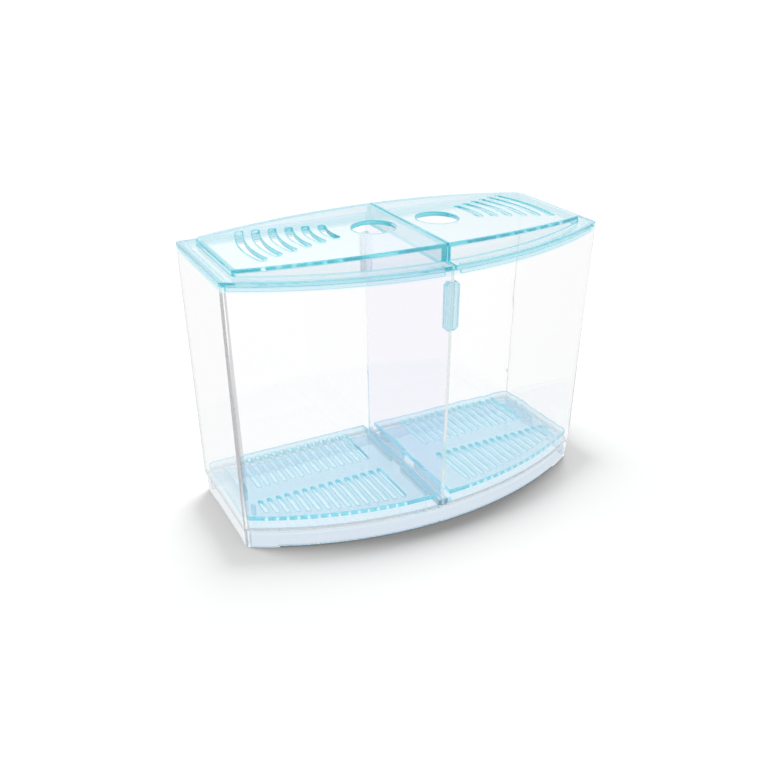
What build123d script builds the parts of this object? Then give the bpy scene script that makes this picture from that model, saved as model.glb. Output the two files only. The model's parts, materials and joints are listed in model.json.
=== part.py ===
from build123d import *
from math import radians, sqrt, tan
import os

# A small two-fish tank: one clear tapered tank with a bowed front, a lift-out divider,
# two arched lids and two slotted floor grates. Millimetres, +Z up, +X to the right,
# the bowed front faces -Y, and the origin is under the middle of the tank.

# Tank, as measured on the outside at its rim
length = 185.0
end_depth = 61.0
front_bow = 25.0
rim_height = 125.5
draft = 1.25
wall = 2.0
wall_corner = 2.0

# Floor and the skirt that carries it
floor_level = 9.5
floor_thickness = 2.0
skirt_step = 0.5
skirt_wall = 2.2
foot_length = 14.0
foot_relief = 0.6

# Divider and what holds it upright
divider_thickness = 1.5
divider_side_gap = 0.25
divider_end_gap = 0.3
divider_top_gap = 0.3
floor_rib_width = 1.2
floor_rib_height = 3.0
guide_width = 6.5
guide_depth = 2.5
guide_web = 0.8
guide_length = 22.0
guide_below_rim = 5.5
guide_chamfer = 1.4

# Lids
flange_thickness = 2.0
ledge_width = 7.0
deck_end_height = 4.8
deck_crown = 4.8
deck_thickness = 2.0
riser_wall = 1.8
deck_corner = 3.0
deck_edge_round = 0.6
seam_gap = 0.5
seam_wall = 1.8
locating_rib_width = 1.2
locating_rib_depth = 2.5
locating_rib_gap = 0.5

# Feed hole and vent slots in each lid
feed_hole_diameter = 19.5
feed_hole_from_seam = 16.0
vent_count = 6
vent_width = 3.2
vent_first_x = 35.4
vent_pitch = 6.8
vent_lean = 0.5
vent_lean_growth = 0.25
vent_first_back = 13.0
vent_back_growth = 3.0
vent_first_front = -4.2
vent_front_growth = -1.3
vent_bulge = 0.075

# Floor grates
grate_top = 6.5
grate_thickness = 2.0
grate_wall_gap = 0.5
grate_corner = 3.0
grate_guide_gap = 0.3
grate_leg_width = 1.5
grate_leg_length = 25.0
grate_leg_inset = 6.0
grate_round = 0.4
grate_slot_pitch = 4.34
grate_slot_width = 1.9
grate_slot_from_seam = 17.2
grate_strip_width = 11.0
grate_strip_centre = 0.4
grate_margin = 4.5
grate_end_margin = 7.5

# Worked-out values
depth = end_depth + front_bow
half = length / 2
bow_radius = (half**2 + front_bow**2) / (2 * front_bow)
bow_centre_y = -depth / 2 + bow_radius
slope = tan(radians(draft))
deck_half = half - ledge_width
deck_top = rim_height + deck_end_height + deck_crown
arch_radius = (deck_half**2 + deck_crown**2) / (2 * deck_crown)
panel_top = rim_height - divider_top_gap
tall = 2 * deck_top


def draw_in(z):
    """How far the tapered wall has come in at height z, from its place at the rim."""
    return slope * (rim_height - z)


def front_at(x, inset):
    """Where the bowed front lies at x, once it is set in from the rim line."""
    return bow_centre_y - sqrt((bow_radius - inset) ** 2 - x**2)


def bow_outline(inset, corner):
    """The tank's plan: flat back, flat ends and one arc in front, set in from the rim."""
    side = half - inset
    back = depth / 2 - inset
    corner_y = front_at(side, inset)
    with BuildSketch() as plan:
        with BuildLine():
            Polyline((-side, corner_y), (-side, back), (side, back), (side, corner_y))
            ThreePointArc((side, corner_y), (0, front_at(0, inset)), (-side, corner_y))
        make_face()
        fillet(plan.vertices(), radius=corner)
    return plan.sketch


def left_half(plan, edge_x):
    """The part of a plan that lies left of edge_x."""
    with BuildSketch() as piece:
        add(plan)
        with Locations((edge_x, 0)):
            Rectangle(length, 2 * depth, align=(Align.MAX, Align.CENTER), mode=Mode.INTERSECT)
    return piece.sketch


def panel_outline(edge_gap):
    """Side view of an upright panel whose sloped edges stay edge_gap off the walls."""
    low_in = wall + draw_in(floor_level) + edge_gap
    top_in = wall + draw_in(panel_top) + edge_gap
    with BuildSketch() as outline:
        with BuildLine():
            Polyline(
                (front_at(0, low_in), floor_level),
                (depth / 2 - low_in, floor_level),
                (depth / 2 - top_in, panel_top),
                (front_at(0, top_in), panel_top),
                close=True,
            )
        make_face()
    return outline.sketch


# Inside space of the tank, used to cut it and to shape what lies against its walls
with BuildPart() as tank_space:
    with BuildSketch(Plane.XY.offset(rim_height)):
        add(bow_outline(wall, wall_corner))
    extrude(amount=-(rim_height - floor_level), taper=draft)

# Tank body: tapered walls, raised floor, skirt with four corner feet, two floor ribs
with BuildPart() as tank_body:
    with BuildSketch(Plane.XY.offset(rim_height)):
        add(bow_outline(0, wall_corner))
    extrude(amount=-(rim_height - floor_level), taper=draft)
    with BuildSketch(Plane.XY.offset(floor_level)):
        add(bow_outline(draw_in(floor_level) + skirt_step, wall_corner))
    extrude(amount=-floor_level, taper=draft)
    add(tank_space.part, mode=Mode.SUBTRACT)
    skirt_inset = draw_in(0) + skirt_step + skirt_wall
    with BuildSketch():
        add(bow_outline(skirt_inset, wall_corner))
    extrude(amount=floor_level - floor_thickness, mode=Mode.SUBTRACT)
    side_reach = half - draw_in(0) - foot_length
    back_reach = depth / 2 - draw_in(0) - foot_length
    front_reach = front_at(side_reach, draw_in(0)) + foot_length
    with BuildSketch():
        Rectangle(2 * side_reach, 2 * depth)
        with Locations((0, (back_reach + front_reach) / 2)):
            Rectangle(2 * length, back_reach - front_reach)
    extrude(amount=foot_relief, mode=Mode.SUBTRACT)
    rib_x = divider_thickness / 2 + divider_side_gap + floor_rib_width / 2
    rib_back = depth / 2 - wall - draw_in(floor_level)
    rib_front = front_at(rib_x, wall + draw_in(floor_level))
    with BuildSketch(Plane.XY.offset(floor_level)):
        with Locations((-rib_x, (rib_back + rib_front) / 2), (rib_x, (rib_back + rib_front) / 2)):
            Rectangle(floor_rib_width, rib_back - rib_front)
    extrude(amount=floor_rib_height)
tank_body.part.label = "tank_body"

# Divider panel: one clear sheet, tapered like the walls, that stands between the ribs
with BuildPart() as divider_panel:
    with BuildSketch(Plane.YZ.offset(-divider_thickness / 2)):
        add(panel_outline(guide_web + divider_end_gap))
    extrude(amount=divider_thickness)
divider_panel.part.label = "divider_panel"


def guide_block(wall_side):
    """A short channel, open at both ends, whose back follows the wall it is bonded to."""
    guide_top = rim_height - guide_below_rim
    wall_in = wall + draw_in(guide_top - guide_length)
    wall_y = depth / 2 - wall_in if wall_side > 0 else front_at(0, wall_in)
    slot_width = divider_thickness + 2 * divider_side_gap
    with BuildPart() as block:
        with BuildSketch(Plane.XZ.offset(wall_side * guide_depth - wall_y)):
            with Locations((0, guide_top - guide_length / 2)):
                blank = Rectangle(guide_width, guide_length)
            chamfer(blank.vertices(), length=guide_chamfer)
        extrude(amount=-wall_side * 2 * guide_depth)
        with BuildSketch(Plane.YZ.offset(-slot_width / 2)):
            add(panel_outline(guide_web))
        extrude(amount=slot_width, mode=Mode.SUBTRACT)
        add(tank_space.part, mode=Mode.INTERSECT)
    return block.part


# Divider guides: a clear channel bonded inside the front wall and one inside the back
with BuildPart() as front_divider_guide:
    add(guide_block(-1))
front_divider_guide.part.label = "front_divider_guide"

with BuildPart() as back_divider_guide:
    add(guide_block(1))
back_divider_guide.part.label = "back_divider_guide"

# Hollow under the left lid's deck
with BuildPart() as deck_hollow:
    with BuildSketch():
        add(left_half(bow_outline(ledge_width + riser_wall, deck_corner / 2), -seam_gap / 2 - seam_wall))
    extrude(amount=tall)
    with BuildSketch(Plane.XZ.offset(-depth)):
        with Locations((0, deck_top - arch_radius)):
            Circle(arch_radius - deck_thickness)
    extrude(amount=2 * depth, mode=Mode.INTERSECT)

# Both lids' arched decks as one block, its top edge rounded
with BuildPart() as deck_block:
    with BuildSketch():
        add(bow_outline(ledge_width, deck_corner))
    extrude(amount=tall)
    with BuildSketch(Plane.XZ.offset(-depth)):
        with Locations((0, deck_top - arch_radius)):
            Circle(arch_radius)
    extrude(amount=2 * depth, mode=Mode.INTERSECT)
    fillet(deck_block.faces().sort_by(Axis.Z)[-1].outer_wire().edges(), radius=deck_edge_round)

# Left lid: flat flange on the rim, arched deck raised above it, rib that locates it
with BuildPart() as left_lid:
    add(deck_block.part)
    split(bisect_by=Plane.YZ.offset(-seam_gap / 2), keep=Keep.BOTTOM)
    with BuildSketch(Plane.XY.offset(rim_height)):
        add(left_half(bow_outline(0, wall_corner), -seam_gap / 2))
    extrude(amount=flange_thickness)
    with BuildSketch():
        Rectangle(2 * length, 2 * depth)
    extrude(amount=rim_height, mode=Mode.SUBTRACT)
    rib_outer = wall + locating_rib_gap + draw_in(rim_height - locating_rib_depth)
    rib_edge = guide_width / 2 + locating_rib_gap
    with BuildSketch(Plane.XY.offset(rim_height)):
        add(left_half(bow_outline(rib_outer, wall_corner), -rib_edge))
        add(bow_outline(rib_outer + locating_rib_width, wall_corner / 2), mode=Mode.SUBTRACT)
    extrude(amount=-locating_rib_depth)
    add(deck_hollow.part, mode=Mode.SUBTRACT)
    with BuildSketch():
        with Locations((-feed_hole_from_seam, 0)):
            Circle(feed_hole_diameter / 2)
        for row in range(vent_count):
            middle_x = vent_first_x + vent_pitch * row
            lean = vent_lean + vent_lean_growth * row
            back_end = Vector(-(middle_x - lean), vent_first_back + vent_back_growth * row)
            front_end = Vector(-(middle_x + lean), vent_first_front + vent_front_growth * row)
            chord = back_end - front_end
            middle = (back_end + front_end) / 2 - Vector(vent_bulge * chord.length, 0)
            SlotArc(Edge.make_three_point_arc(front_end, middle, back_end), height=vent_width)
    extrude(amount=tall, mode=Mode.SUBTRACT)
left_lid.part.label = "left_lid"

# Right lid: the left one's mirror image
with BuildPart() as right_lid:
    mirror(left_lid.part, about=Plane.YZ)
right_lid.part.label = "right_lid"

# Left grate: slotted plate on four short legs, lying loose on the floor
plate_top = floor_level + grate_top
plate_inset = wall + draw_in(floor_level) + grate_wall_gap
plate_edge = guide_width / 2 + grate_guide_gap
with BuildPart() as left_grate:
    with BuildSketch(Plane.XY.offset(plate_top - grate_thickness)) as plate_plan:
        add(left_half(bow_outline(plate_inset, grate_corner), -plate_edge))
    extrude(amount=grate_thickness)
    fillet(left_grate.faces().sort_by(Axis.Z)[-1].outer_wire().edges(), radius=grate_round)
    strip_back = grate_strip_centre + grate_strip_width / 2
    strip_front = grate_strip_centre - grate_strip_width / 2
    slots_back = depth / 2 - plate_inset - grate_margin
    slots_end = half - plate_inset - grate_end_margin
    slot_count = 1 + int((slots_end - grate_slot_from_seam) / grate_slot_pitch)
    with BuildSketch():
        for place in range(slot_count):
            slot_x = grate_slot_from_seam + grate_slot_pitch * place
            slots_front = front_at(slot_x, plate_inset) + grate_margin
            with Locations((-slot_x, (strip_front + slots_front) / 2)):
                SlotOverall(strip_front - slots_front, grate_slot_width, rotation=90)
            if place < slot_count - 1:
                with Locations((-slot_x, (slots_back + strip_back) / 2)):
                    SlotOverall(slots_back - strip_back, grate_slot_width, rotation=90)
    extrude(amount=tall, mode=Mode.SUBTRACT)
    inner_leg_x = plate_edge + grate_leg_width / 2
    outer_leg_x = half - plate_inset - grate_leg_inset
    back_leg_y = strip_back + grate_leg_length / 2
    front_leg_y = strip_front - grate_leg_length / 2
    with BuildSketch(Plane.XY.offset(floor_level)):
        for leg_x in (inner_leg_x, outer_leg_x):
            with Locations((-leg_x, back_leg_y)):
                Rectangle(grate_leg_width, grate_leg_length)
        with Locations((-inner_leg_x, front_leg_y)):
            Rectangle(grate_leg_width, grate_leg_length)
        with Locations((-outer_leg_x, strip_front - grate_leg_width)):
            Rectangle(grate_leg_width, 2 * grate_leg_width)
    extrude(amount=grate_top - grate_thickness)
left_grate.part.label = "left_grate"

# Right grate: the left one's mirror image
with BuildPart() as right_grate:
    mirror(left_grate.part, about=Plane.YZ)
right_grate.part.label = "right_grate"

os.makedirs("parts", exist_ok=True)
pieces = (
    tank_body,
    front_divider_guide,
    back_divider_guide,
    divider_panel,
    left_lid,
    right_lid,
    left_grate,
    right_grate,
)
for piece in pieces:
    export_step(piece.part, f"parts/{piece.part.label}.step")
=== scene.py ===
import json
import math
import bpy
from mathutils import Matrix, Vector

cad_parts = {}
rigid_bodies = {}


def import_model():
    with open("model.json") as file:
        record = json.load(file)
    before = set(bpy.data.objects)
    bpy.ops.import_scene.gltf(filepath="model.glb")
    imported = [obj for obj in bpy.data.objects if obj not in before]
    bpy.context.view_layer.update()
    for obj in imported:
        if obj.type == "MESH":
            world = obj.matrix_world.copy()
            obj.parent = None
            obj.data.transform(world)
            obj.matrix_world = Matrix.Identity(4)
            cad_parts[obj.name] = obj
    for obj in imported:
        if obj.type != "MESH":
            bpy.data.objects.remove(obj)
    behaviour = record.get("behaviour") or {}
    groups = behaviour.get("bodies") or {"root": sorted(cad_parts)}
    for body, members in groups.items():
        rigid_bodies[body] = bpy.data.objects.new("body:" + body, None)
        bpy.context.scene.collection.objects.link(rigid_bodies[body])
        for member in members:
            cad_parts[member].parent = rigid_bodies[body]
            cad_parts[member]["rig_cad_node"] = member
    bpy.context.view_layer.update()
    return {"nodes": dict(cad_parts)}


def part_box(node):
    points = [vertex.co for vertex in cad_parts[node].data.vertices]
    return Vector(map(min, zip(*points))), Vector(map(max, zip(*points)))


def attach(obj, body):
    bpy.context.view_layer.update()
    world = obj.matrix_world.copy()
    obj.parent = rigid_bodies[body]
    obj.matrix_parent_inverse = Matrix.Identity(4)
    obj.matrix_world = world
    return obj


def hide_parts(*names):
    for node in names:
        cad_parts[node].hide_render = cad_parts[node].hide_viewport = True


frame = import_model()

# Tank body: one clear moulding with thin tapered walls, a raised floor and a low skirt under it.
# The walls are polished and the skirt is a little duller. Edges and rounded corners are painted grey
# as painted shade for light that runs through the depth of the plastic; the rim takes the lids' colour
# as painted light.
tank_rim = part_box("tank_body")[1].z
tank_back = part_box("tank_body")[1].y
wall_taper = math.tan(math.radians(1.25))
rim_foot = tank_rim - 0.0023
corner_strip = 0.0028
floor_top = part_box("left_grate")[0].z
floor_under = floor_top - 0.0025
skirt_top = floor_top + 0.0004
# Painted shade: a thin grey line just above the skirt's top stands for the shadow of the step there.
step_shadow_height = skirt_top + 0.0003
step_shadow_width = 0.001
rib_top = floor_top + 0.0035
rib_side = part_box("right_grate")[0].x + 0.0004
foot_height = 0.0009
soft_step = 0.0002
softer_step = 0.0004
mould_radius = 0.0002


def feed(tree, value, socket):
    """Gives a socket a number or a colour, or links it to another node's output."""
    if isinstance(value, bpy.types.NodeSocket):
        tree.links.new(value, socket)
    elif isinstance(value, tuple):
        socket.default_value = (*value, 1)
    else:
        socket.default_value = value


def worked_out(tree, operation, first, second=0.0):
    """The result of one sum."""
    sum_node = tree.nodes.new("ShaderNodeMath")
    sum_node.operation = operation
    feed(tree, first, sum_node.inputs[0])
    feed(tree, second, sum_node.inputs[1])
    return sum_node.outputs[0]


def fade(tree, value, start, end, low=0.0, high=1.0):
    """A number that goes from low to high while the value goes from start to end."""
    fade_node = tree.nodes.new("ShaderNodeMapRange")
    fade_node.inputs["From Min"].default_value = start
    fade_node.inputs["From Max"].default_value = end
    feed(tree, low, fade_node.inputs["To Min"])
    feed(tree, high, fade_node.inputs["To Max"])
    feed(tree, value, fade_node.inputs["Value"])
    return fade_node.outputs[0]


def colour_between(tree, share, first, second):
    """The first colour where the share is 0, the second where it is 1."""
    mix_node = tree.nodes.new("ShaderNodeMix")
    mix_node.data_type = "RGBA"
    feed(tree, share, mix_node.inputs["Factor"])
    feed(tree, first, mix_node.inputs["A"])
    feed(tree, second, mix_node.inputs["B"])
    return mix_node.outputs["Result"]


def shader_between(tree, share, first, second):
    """The first shader where the share is 0, the second where it is 1."""
    mix_node = tree.nodes.new("ShaderNodeMixShader")
    feed(tree, share, mix_node.inputs[0])
    tree.links.new(first, mix_node.inputs[1])
    tree.links.new(second, mix_node.inputs[2])
    return mix_node.outputs[0]


def moulded_surface():
    """Node group: the slow waves, dull patches and fine lines that a mould leaves in plastic."""
    patches_in_a_metre = 45
    waves_in_a_metre = 9
    group = bpy.data.node_groups.new("moulded_surface", "ShaderNodeTree")
    group.interface.new_socket("Roughness", in_out="INPUT", socket_type="NodeSocketFloat")
    group.interface.new_socket("Dull Patches", in_out="INPUT", socket_type="NodeSocketFloat")
    group.interface.new_socket("Lines", in_out="INPUT", socket_type="NodeSocketFloat")
    group.interface.new_socket("Line Direction", in_out="INPUT", socket_type="NodeSocketVector")
    group.interface.new_socket("Roughness", in_out="OUTPUT", socket_type="NodeSocketFloat")
    group.interface.new_socket("Height", in_out="OUTPUT", socket_type="NodeSocketFloat")
    given = group.nodes.new("NodeGroupInput")
    result = group.nodes.new("NodeGroupOutput")
    place = group.nodes.new("ShaderNodeTexCoord")
    patches = group.nodes.new("ShaderNodeTexNoise")
    patches.inputs["Scale"].default_value = patches_in_a_metre
    patches.inputs["Detail"].default_value = 3
    group.links.new(place.outputs["Object"], patches.inputs["Vector"])
    along = group.nodes.new("ShaderNodeVectorMath")
    along.operation = "MULTIPLY"
    group.links.new(place.outputs["Object"], along.inputs[0])
    group.links.new(given.outputs["Line Direction"], along.inputs[1])
    lines = group.nodes.new("ShaderNodeTexNoise")
    lines.inputs["Scale"].default_value = 1
    lines.inputs["Detail"].default_value = 2
    group.links.new(along.outputs[0], lines.inputs["Vector"])
    waves = group.nodes.new("ShaderNodeTexNoise")
    waves.inputs["Scale"].default_value = waves_in_a_metre
    waves.inputs["Detail"].default_value = 1
    group.links.new(place.outputs["Object"], waves.inputs["Vector"])
    patched = worked_out(group, "MULTIPLY", patches.outputs["Fac"], given.outputs["Dull Patches"])
    lined = worked_out(group, "MULTIPLY", lines.outputs["Fac"], given.outputs["Lines"])
    marked = worked_out(group, "ADD", patched, lined)
    dulled = worked_out(group, "ADD", marked, given.outputs["Roughness"])
    group.links.new(dulled, result.inputs["Roughness"])
    group.links.new(waves.outputs["Fac"], result.inputs["Height"])
    return group


def edge_finder():
    """Node group: 1 along the edges of a piece, within a width, and 0 on its faces."""
    agreement_on_faces = 1.0
    agreement_on_edges = 0.93
    group = bpy.data.node_groups.new("edge_finder", "ShaderNodeTree")
    group.interface.new_socket("Width", in_out="INPUT", socket_type="NodeSocketFloat")
    group.interface.new_socket("Edge", in_out="OUTPUT", socket_type="NodeSocketFloat")
    given = group.nodes.new("NodeGroupInput")
    result = group.nodes.new("NodeGroupOutput")
    rounded = group.nodes.new("ShaderNodeBevel")
    rounded.samples = 4
    group.links.new(given.outputs["Width"], rounded.inputs["Radius"])
    flat = group.nodes.new("ShaderNodeNewGeometry")
    agree = group.nodes.new("ShaderNodeVectorMath")
    agree.operation = "DOT_PRODUCT"
    group.links.new(rounded.outputs[0], agree.inputs[0])
    group.links.new(flat.outputs["Normal"], agree.inputs[1])
    near = group.nodes.new("ShaderNodeMapRange")
    near.interpolation_type = "SMOOTHSTEP"
    near.inputs["From Min"].default_value = agreement_on_faces
    near.inputs["From Max"].default_value = agreement_on_edges
    group.links.new(agree.outputs["Value"], near.inputs["Value"])
    group.links.new(near.outputs[0], result.inputs["Edge"])
    return group


surface_group = moulded_surface()
edge_group = edge_finder()
index_of_plastic = 1.49
most_turns_of_light = 10


def new_plastic(name):
    """An empty material, whose nodes are to follow."""
    material = bpy.data.materials.new(name)
    material.use_nodes = True
    return material


def edges_of(tree, width):
    """The edges of the piece that the material is on."""
    finder = tree.nodes.new("ShaderNodeGroup")
    finder.node_tree = edge_group
    finder.inputs["Width"].default_value = width
    return finder.outputs["Edge"]


def light_let_by(tree, direct, scattered):
    """How much lamp light, and light from the room, one surface lets by to what lies behind it."""
    path = tree.nodes.new("ShaderNodeLightPath")
    by_lamp = (direct, direct, direct)
    by_room = (scattered, scattered, scattered)
    return colour_between(tree, path.outputs["Is Diffuse Ray"], by_lamp, by_room)


def make_clear(material, face, edge, at_edge, bloom, roughness, dull_patches, lines, line_direction,
               wave, absorbed, let_by):
    """Clear plastic. Face and edge colour what passes the surface, absorbed what passes a metre of
    depth, and bloom is the share of the outer surface that scatters light instead of passing it."""
    tree = material.node_tree
    plastic = tree.nodes["Principled BSDF"]
    plastic.inputs["IOR"].default_value = index_of_plastic
    plastic.inputs["Transmission Weight"].default_value = 1
    cast = colour_between(tree, at_edge, face, edge)
    tree.links.new(cast, plastic.inputs["Base Color"])

    marks = tree.nodes.new("ShaderNodeGroup")
    marks.node_tree = surface_group
    feed(tree, roughness, marks.inputs["Roughness"])
    marks.inputs["Dull Patches"].default_value = dull_patches
    marks.inputs["Lines"].default_value = lines
    marks.inputs["Line Direction"].default_value = line_direction
    tree.links.new(marks.outputs["Roughness"], plastic.inputs["Roughness"])
    waviness = tree.nodes.new("ShaderNodeBump")
    waviness.inputs["Distance"].default_value = wave
    tree.links.new(marks.outputs["Height"], waviness.inputs["Height"])
    tree.links.new(waviness.outputs[0], plastic.inputs["Normal"])

    strongest = max(absorbed)
    depth = tree.nodes.new("ShaderNodeVolumeAbsorption")
    depth.inputs["Color"].default_value = (*(1 - part / strongest for part in absorbed), 1)
    depth.inputs["Density"].default_value = strongest
    tree.links.new(depth.outputs[0], tree.nodes["Material Output"].inputs["Volume"])

    scatter = tree.nodes.new("ShaderNodeBsdfAnisotropic")
    scatter.distribution = "MULTI_GGX"
    scatter.inputs["Roughness"].default_value = 0.5
    tree.links.new(cast, scatter.inputs["Color"])
    side = tree.nodes.new("ShaderNodeNewGeometry")
    share = fade(tree, side.outputs["Backfacing"], 0, 1, bloom, 0.0)
    seen = shader_between(tree, share, plastic.outputs[0], scatter.outputs[0])

    # Light on its way to what lies inside or behind goes straight through, with a set loss.
    passing = tree.nodes.new("ShaderNodeBsdfTransparent")
    feed(tree, let_by, passing.inputs["Color"])
    path = tree.nodes.new("ShaderNodeLightPath")
    lit = worked_out(tree, "MAXIMUM", path.outputs["Is Shadow Ray"], path.outputs["Is Diffuse Ray"])
    seen_or_lit = shader_between(tree, lit, seen, passing.outputs[0])

    # Light that stays trapped in a thin rim is let out in the end, or the rim would be black.
    way_out = tree.nodes.new("ShaderNodeBsdfTransparent")
    trapped = worked_out(tree, "GREATER_THAN", path.outputs["Ray Depth"], most_turns_of_light)
    freed = shader_between(tree, trapped, seen_or_lit, way_out.outputs[0])
    tree.links.new(freed, tree.nodes["Material Output"].inputs["Surface"])


def moulded_copy(node, name, body, radius, material):
    """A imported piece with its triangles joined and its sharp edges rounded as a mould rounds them."""
    merge_distance = 0.000002
    still_flat = math.radians(0.5)
    still_smooth = math.radians(30)
    sharp = math.radians(80)
    bpy.ops.object.select_all(action="DESELECT")
    packed = frame["nodes"][node]
    packed.select_set(True)
    bpy.context.view_layer.objects.active = packed
    bpy.ops.object.duplicate()
    piece = bpy.context.object
    piece.name = name
    del piece["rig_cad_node"]
    bpy.ops.object.mode_set(mode="EDIT")
    bpy.ops.mesh.select_all(action="SELECT")
    bpy.ops.mesh.remove_doubles(threshold=merge_distance)
    bpy.ops.mesh.dissolve_limited(angle_limit=still_flat)
    bpy.ops.mesh.vert_connect_concave()
    bpy.ops.object.mode_set(mode="OBJECT")
    bpy.ops.mesh.customdata_custom_splitnormals_clear()
    bpy.ops.object.shade_smooth_by_angle(angle=still_smooth)
    rounding = piece.modifiers.new("rounded edges", "BEVEL")
    rounding.width = radius
    rounding.segments = 2
    rounding.limit_method = "ANGLE"
    rounding.angle_limit = sharp
    rounding.use_clamp_overlap = False
    rounding.loop_slide = False
    bpy.ops.object.modifier_apply(modifier=rounding.name)
    flats = piece.modifiers.new("flat faces stay flat", "WEIGHTED_NORMAL")
    flats.weight = 100
    flats.keep_sharp = True
    bpy.ops.object.modifier_apply(modifier=flats.name)
    piece.data.materials.clear()
    piece.data.materials.append(material)
    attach(piece, body)
    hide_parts(node)


tank_plastic = new_plastic("tank_plastic")
tree = tank_plastic.node_tree
place = tree.nodes.new("ShaderNodeTexCoord")
position = tree.nodes.new("ShaderNodeSeparateXYZ")
tree.links.new(place.outputs["Object"], position.inputs[0])
direction = tree.nodes.new("ShaderNodeSeparateXYZ")
tree.links.new(place.outputs["Normal"], direction.inputs[0])
height = position.outputs["Z"]
from_middle = worked_out(tree, "ABSOLUTE", position.outputs["X"])
which_end = worked_out(tree, "SIGN", position.outputs["X"])

# How far a wall is turned towards the nearer end, 0 on the back and 1 on an end wall, tells the
# rounded corners from the bowed front.
towards_end = worked_out(tree, "MULTIPLY", direction.outputs["X"], which_end)
past_front = fade(tree, towards_end, start=0.52, end=0.6)
before_end = fade(tree, towards_end, start=0.995, end=0.96)
rounded_corner = worked_out(tree, "MULTIPLY", past_front, before_end)
on_end_wall = fade(tree, towards_end, start=0.97, end=0.995)
below_rim = worked_out(tree, "SUBTRACT", tank_rim, height)
drawn_in = worked_out(tree, "MULTIPLY", below_rim, wall_taper)
back_here = worked_out(tree, "SUBTRACT", tank_back, drawn_in)
from_back = worked_out(tree, "SUBTRACT", back_here, position.outputs["Y"])
near_back = fade(tree, from_back, corner_strip + softer_step, corner_strip, low=0.0, high=0.5)
back_corner = worked_out(tree, "MULTIPLY", on_end_wall, near_back)
corners = worked_out(tree, "MAXIMUM", rounded_corner, back_corner)
# Painted shade: the edges and the corners are coloured grey, for light running through the depth.
painted_shade_places = worked_out(tree, "MAXIMUM", edges_of(tree, width=0.0009), corners)

streaks_in_a_metre = (25, 25, 900)
streaks = tree.nodes.new("ShaderNodeTexNoise")
streaks.inputs["Scale"].default_value = 1
streaks.inputs["Detail"].default_value = 3
stretch = tree.nodes.new("ShaderNodeMapping")
stretch.inputs["Scale"].default_value = streaks_in_a_metre
tree.links.new(place.outputs["Object"], stretch.inputs[0])
tree.links.new(stretch.outputs[0], streaks.inputs["Vector"])
darker_streak = (0.63, 0.73, 0.83)
paler_streak = (0.73, 0.81, 0.89)
floor_tone = (0.74, 0.88, 0.96)
end_and_foot_tone = (0.86, 0.88, 0.91)
skirt_tone = colour_between(tree, streaks.outputs["Fac"], darker_streak, paler_streak)
at_floor = fade(tree, height, floor_under - soft_step, floor_under + soft_step)
front_tone = colour_between(tree, at_floor, skirt_tone, floor_tone)
at_foot = fade(tree, height, foot_height, foot_height / 2)
clearer = worked_out(tree, "MAXIMUM", on_end_wall, at_foot)
base_tone = colour_between(tree, clearer, front_tone, end_and_foot_tone)

clear = (1.0, 1.0, 1.0)
# Painted light: the clear rim is tinted with the lids' colour, as the lids seen in it.
rim_painted_lid_tint = (0.8, 0.96, 1.0)
rib_tone = (0.5, 0.85, 0.97)
# Painted shade: the colour of the step's shadow line at the skirt's top.
step_shadow_tone = (0.5, 0.55, 0.6)
at_rim = fade(tree, height, rim_foot - softer_step, rim_foot + softer_step)
wall_tone = colour_between(tree, at_rim, clear, rim_painted_lid_tint)
between_ribs = fade(tree, from_middle, rib_side + soft_step, rib_side - soft_step)
under_rib_top = fade(tree, height, rib_top + soft_step, rib_top - soft_step)
at_ribs = worked_out(tree, "MULTIPLY", between_ribs, under_rib_top)
upper_tone = colour_between(tree, at_ribs, wall_tone, rib_tone)
above_skirt = fade(tree, height, skirt_top - soft_step, skirt_top + soft_step)
plain_tone = colour_between(tree, above_skirt, base_tone, upper_tone)
from_step_shadow = worked_out(tree, "ABSOLUTE", worked_out(tree, "SUBTRACT", height, step_shadow_height))
at_step_shadow = fade(tree, from_step_shadow, step_shadow_width / 2, step_shadow_width / 4)

# Painted shade: the grey given to the clear tank's edges and corners.
painted_edge_shade = (0.45, 0.45, 0.47)
# Painted light: the rim's edges take the lids' colour too.
rim_edge_painted_lid_tint = (0.55, 0.93, 0.98)
skirt_lets_by = (0.02, 0.02, 0.02)
skirt_roughness = 0.05
haze_of_walls = 0.06
film_on_edges = 0.4
facing = tree.nodes.new("ShaderNodeLayerWeight")
facing.inputs["Blend"].default_value = 0.5
aslant = fade(tree, facing.outputs["Facing"], start=0.3, end=0.75)
haze = worked_out(tree, "MULTIPLY", aslant, haze_of_walls)
edge_film = worked_out(tree, "MULTIPLY", painted_shade_places, film_on_edges)
walls_let_by = light_let_by(tree, direct=0.985, scattered=0.93)

make_clear(
    tank_plastic,
    face=colour_between(tree, at_step_shadow, plain_tone, step_shadow_tone),
    edge=colour_between(tree, at_rim, painted_edge_shade, rim_edge_painted_lid_tint),
    at_edge=painted_shade_places,
    bloom=worked_out(tree, "ADD", haze, edge_film),
    roughness=fade(tree, above_skirt, 0, 1, low=skirt_roughness, high=0.0),
    dull_patches=0.03,
    lines=0.0,
    line_direction=(30, 30, 400),
    wave=0.00002,
    absorbed=(0.6, 0.45, 0.3),
    let_by=colour_between(tree, above_skirt, skirt_lets_by, walls_let_by),
)
moulded_copy("tank_body", "clear_tank", "tank", mould_radius, tank_plastic)

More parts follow.
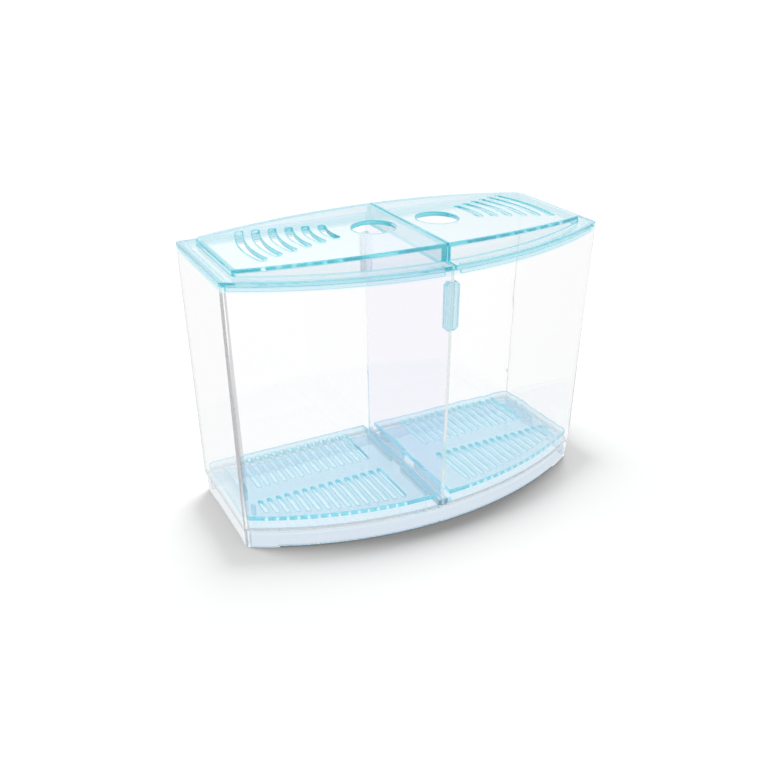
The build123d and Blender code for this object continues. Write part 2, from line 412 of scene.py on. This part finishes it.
# Divider guides: two short channels that hold the divider upright, bonded inside the walls.
# Both are one plastic in two copies: the front one is painted greener, with grey-green edges, as
# painted shade for the darker room refracted in it, and the back one is painted paler.
# Painted shade: this copy's green-blue faces and darker edges stand for the room refracted in the front
# guide.
guide_plastic = new_plastic("guide_plastic")
tree = guide_plastic.node_tree
make_clear(
    guide_plastic,
    face=(0.73, 0.9, 0.95),
    edge=(0.32, 0.7, 0.8),
    at_edge=edges_of(tree, width=0.0006),
    bloom=0.08,
    roughness=0.05,
    dull_patches=0.05,
    lines=0.05,
    line_direction=(600, 600, 30),
    wave=0.00002,
    absorbed=(60, 18, 10),
    let_by=light_let_by(tree, direct=0.92, scattered=0.92),
)
moulded_copy("front_divider_guide", "front_guide", "tank", mould_radius, guide_plastic)

# The back guide's copy: the same plastic with less painted shade, so paler.
back_guide_paler_plastic = new_plastic("back_guide_paler_plastic")
tree = back_guide_paler_plastic.node_tree
make_clear(
    back_guide_paler_plastic,
    face=(0.96, 0.98, 1.0),
    edge=(0.85, 0.93, 0.96),
    at_edge=edges_of(tree, width=0.0005),
    bloom=0.0,
    roughness=0.01,
    dull_patches=0.03,
    lines=0.02,
    line_direction=(600, 600, 30),
    wave=0.00002,
    absorbed=(12, 6, 4),
    let_by=light_let_by(tree, direct=0.95, scattered=0.95),
)
moulded_copy(
    "back_divider_guide", "back_guide", "tank", mould_radius, back_guide_paler_plastic,
)

# Divider: one clear sheet with a faint lilac cast, cut to shape.
# Its sawn edges are a little green and keep their corners, and it slides down in the guides.
cut_radius = 0.0001
divider_plastic = new_plastic("divider_plastic")
tree = divider_plastic.node_tree
make_clear(
    divider_plastic,
    face=(0.93, 0.92, 0.98),
    edge=(0.75, 0.85, 0.88),
    at_edge=edges_of(tree, width=0.0004),
    bloom=0.0,
    roughness=0.0,
    dull_patches=0.04,
    lines=0.0,
    line_direction=(30, 30, 500),
    wave=0.00001,
    absorbed=(6, 4.5, 5),
    let_by=light_let_by(tree, direct=0.99, scattered=0.95),
)
moulded_copy("divider_panel", "divider_sheet", "divider", cut_radius, divider_plastic)

# Lids: transparent pale cyan mouldings with a flat flange, an arched deck and a lip underneath.
# Their faces look nearly white and their edges strongly coloured, because the colour is in the
# depth. The lip hangs inside the clear rim, and its edges look paler through it.
lip_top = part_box("left_lid")[0].z + 0.002
colour_on_lip_edges = 0.15
lid_plastic = new_plastic("lid_plastic")
tree = lid_plastic.node_tree
place = tree.nodes.new("ShaderNodeTexCoord")
position = tree.nodes.new("ShaderNodeSeparateXYZ")
tree.links.new(place.outputs["Object"], position.inputs[0])
height = position.outputs["Z"]
edge_colour = fade(tree, height, lip_top - soft_step, lip_top + soft_step, low=colour_on_lip_edges)
make_clear(
    lid_plastic,
    face=(0.98, 0.97, 1.0),
    edge=(0.03, 0.6, 0.76),
    at_edge=worked_out(tree, "MULTIPLY", edges_of(tree, width=0.0008), edge_colour),
    bloom=0.12,
    roughness=0.01,
    dull_patches=0.05,
    lines=0.02,
    line_direction=(20, 300, 20),
    wave=0.00003,
    absorbed=(58, 11, 8),
    let_by=light_let_by(tree, direct=0.97, scattered=0.9),
)
moulded_copy("left_lid", "left_cover", "left_lid", mould_radius, lid_plastic)
moulded_copy("right_lid", "right_cover", "right_lid", mould_radius, lid_plastic)

# Grates: pale blue slotted plates with a faint satin bloom, moulded with four short legs each.
# They lie loose on the floor of each compartment, clear of the walls.
grate_plastic = new_plastic("grate_plastic")
tree = grate_plastic.node_tree
make_clear(
    grate_plastic,
    face=(0.82, 0.895, 0.965),
    edge=(0.25, 0.74, 0.87),
    at_edge=edges_of(tree, width=0.0006),
    bloom=0.15,
    roughness=0.01,
    dull_patches=0.03,
    lines=0.02,
    line_direction=(300, 20, 20),
    wave=0.00003,
    absorbed=(60, 11, 6),
    let_by=light_let_by(tree, direct=0.9, scattered=0.93),
)
for grate, plate in (("left_grate", "left_slotted_plate"), ("right_grate", "right_slotted_plate")):
    moulded_copy(grate, plate, grate, mould_radius, grate_plastic)

# Floor: a plain white table top, wide enough to fill every view, with the tank's shadow on it.
# Seen through the plastic or reflected in it, it is plain white, as the room is.
table_width = 60
gap_under_feet = 0.00002
table_glow = 0.12
bpy.ops.object.select_all(action="DESELECT")
bpy.ops.mesh.primitive_plane_add(size=table_width, location=(0, 0, -gap_under_feet))
table_top = bpy.context.object
table_top.name = "table_top"
table_paint = bpy.data.materials.new("table_paint")
table_paint.use_nodes = True
tree = table_paint.node_tree
paint = tree.nodes["Principled BSDF"]
paint.inputs["Base Color"].default_value = (0.95, 0.95, 0.95, 1)
paint.inputs["Roughness"].default_value = 0.9
paint.inputs["Specular IOR Level"].default_value = 0
paint.inputs["Emission Color"].default_value = (1, 1, 1, 1)
path = tree.nodes.new("ShaderNodeLightPath")
glow = worked_out(tree, "MULTIPLY", path.outputs["Is Camera Ray"], table_glow)
tree.links.new(glow, paint.inputs["Emission Strength"])
plain_white = tree.nodes.new("ShaderNodeEmission")
plain_white.inputs["Color"].default_value = (1, 1, 1, 1)
through, reflected = path.outputs["Is Transmission Ray"], path.outputs["Is Glossy Ray"]
in_plastic = worked_out(tree, "MAXIMUM", through, reflected)
table_look = shader_between(tree, in_plastic, paint.outputs[0], plain_white.outputs[0])
tree.links.new(table_look, tree.nodes["Material Output"].inputs["Surface"])
table_top.data.materials.append(table_paint)

# Studio: a white room, brightest half way up its walls, and two wide soft lights behind the
# tank, low on the left and on the right, which leave its shadow in front and at both ends.
studio = bpy.data.worlds.new("studio")
bpy.context.scene.world = studio
studio.use_nodes = True
tree = studio.node_tree
place = tree.nodes.new("ShaderNodeTexCoord")
position = tree.nodes.new("ShaderNodeSeparateXYZ")
tree.links.new(place.outputs["Generated"], position.inputs[0])
room = tree.nodes.new("ShaderNodeValToRGB")
room.color_ramp.elements[0].color = (1, 1, 1, 1)
room.color_ramp.elements[1].position = 0.9
room.color_ramp.elements[1].color = (0.98, 0.98, 0.98, 1)
for up, level in ((0.12, 0.95), (0.28, 1), (0.45, 1.35), (0.75, 1.35)):
    band = room.color_ramp.elements.new(up)
    band.color = (level, level, level, 1)
tree.links.new(position.outputs["Z"], room.inputs[0])
white = (1.0, 1.0, 1.0)
fill_light = (0.28, 0.28, 0.28)
path = tree.nodes.new("ShaderNodeLightPath")
through, reflected = path.outputs["Is Transmission Ray"], path.outputs["Is Glossy Ray"]
in_plastic = worked_out(tree, "MAXIMUM", through, reflected)
room_light = colour_between(tree, in_plastic, fill_light, room.outputs[0])
room_look = colour_between(tree, path.outputs["Is Camera Ray"], room_light, white)
tree.links.new(room_look, tree.nodes["Background"].inputs["Color"])

light_height = math.radians(22)
light_turn = math.radians(52)
light_spread = math.radians(42)
light_strength = 3.1
for name, side in (("soft_light_left", -1), ("soft_light_right", 1)):
    bpy.ops.object.light_add(type="SUN", location=(0, 0, 1))
    lamp = bpy.context.object
    lamp.name = name
    lamp.rotation_euler = (light_height - math.pi / 2, 0, -side * light_turn)
    lamp.data.energy = light_strength
    lamp.data.angle = light_spread
    lamp.visible_glossy = False
    lamp.visible_transmission = False

# Camera: a little to the left of the tank and above it, where the photograph was taken from.
# Light is followed through many turns, because every view passes many clear walls.
camera_place = (-0.1902, -0.3456, 0.2478)
camera_tilt = math.radians(63.94)
camera_turn = math.radians(-27.49)
light_turns = 64
bpy.ops.object.camera_add(location=camera_place)
camera = bpy.context.object
camera.rotation_euler = (camera_tilt, 0, camera_turn)
camera.data.sensor_width = 36
camera.data.lens = 42.75
scene = bpy.context.scene
scene.camera = camera
scene.view_settings.view_transform = "Standard"
scene.cycles.max_bounces = light_turns
scene.cycles.glossy_bounces = light_turns
scene.cycles.transmission_bounces = light_turns
scene.cycles.transparent_max_bounces = light_turns
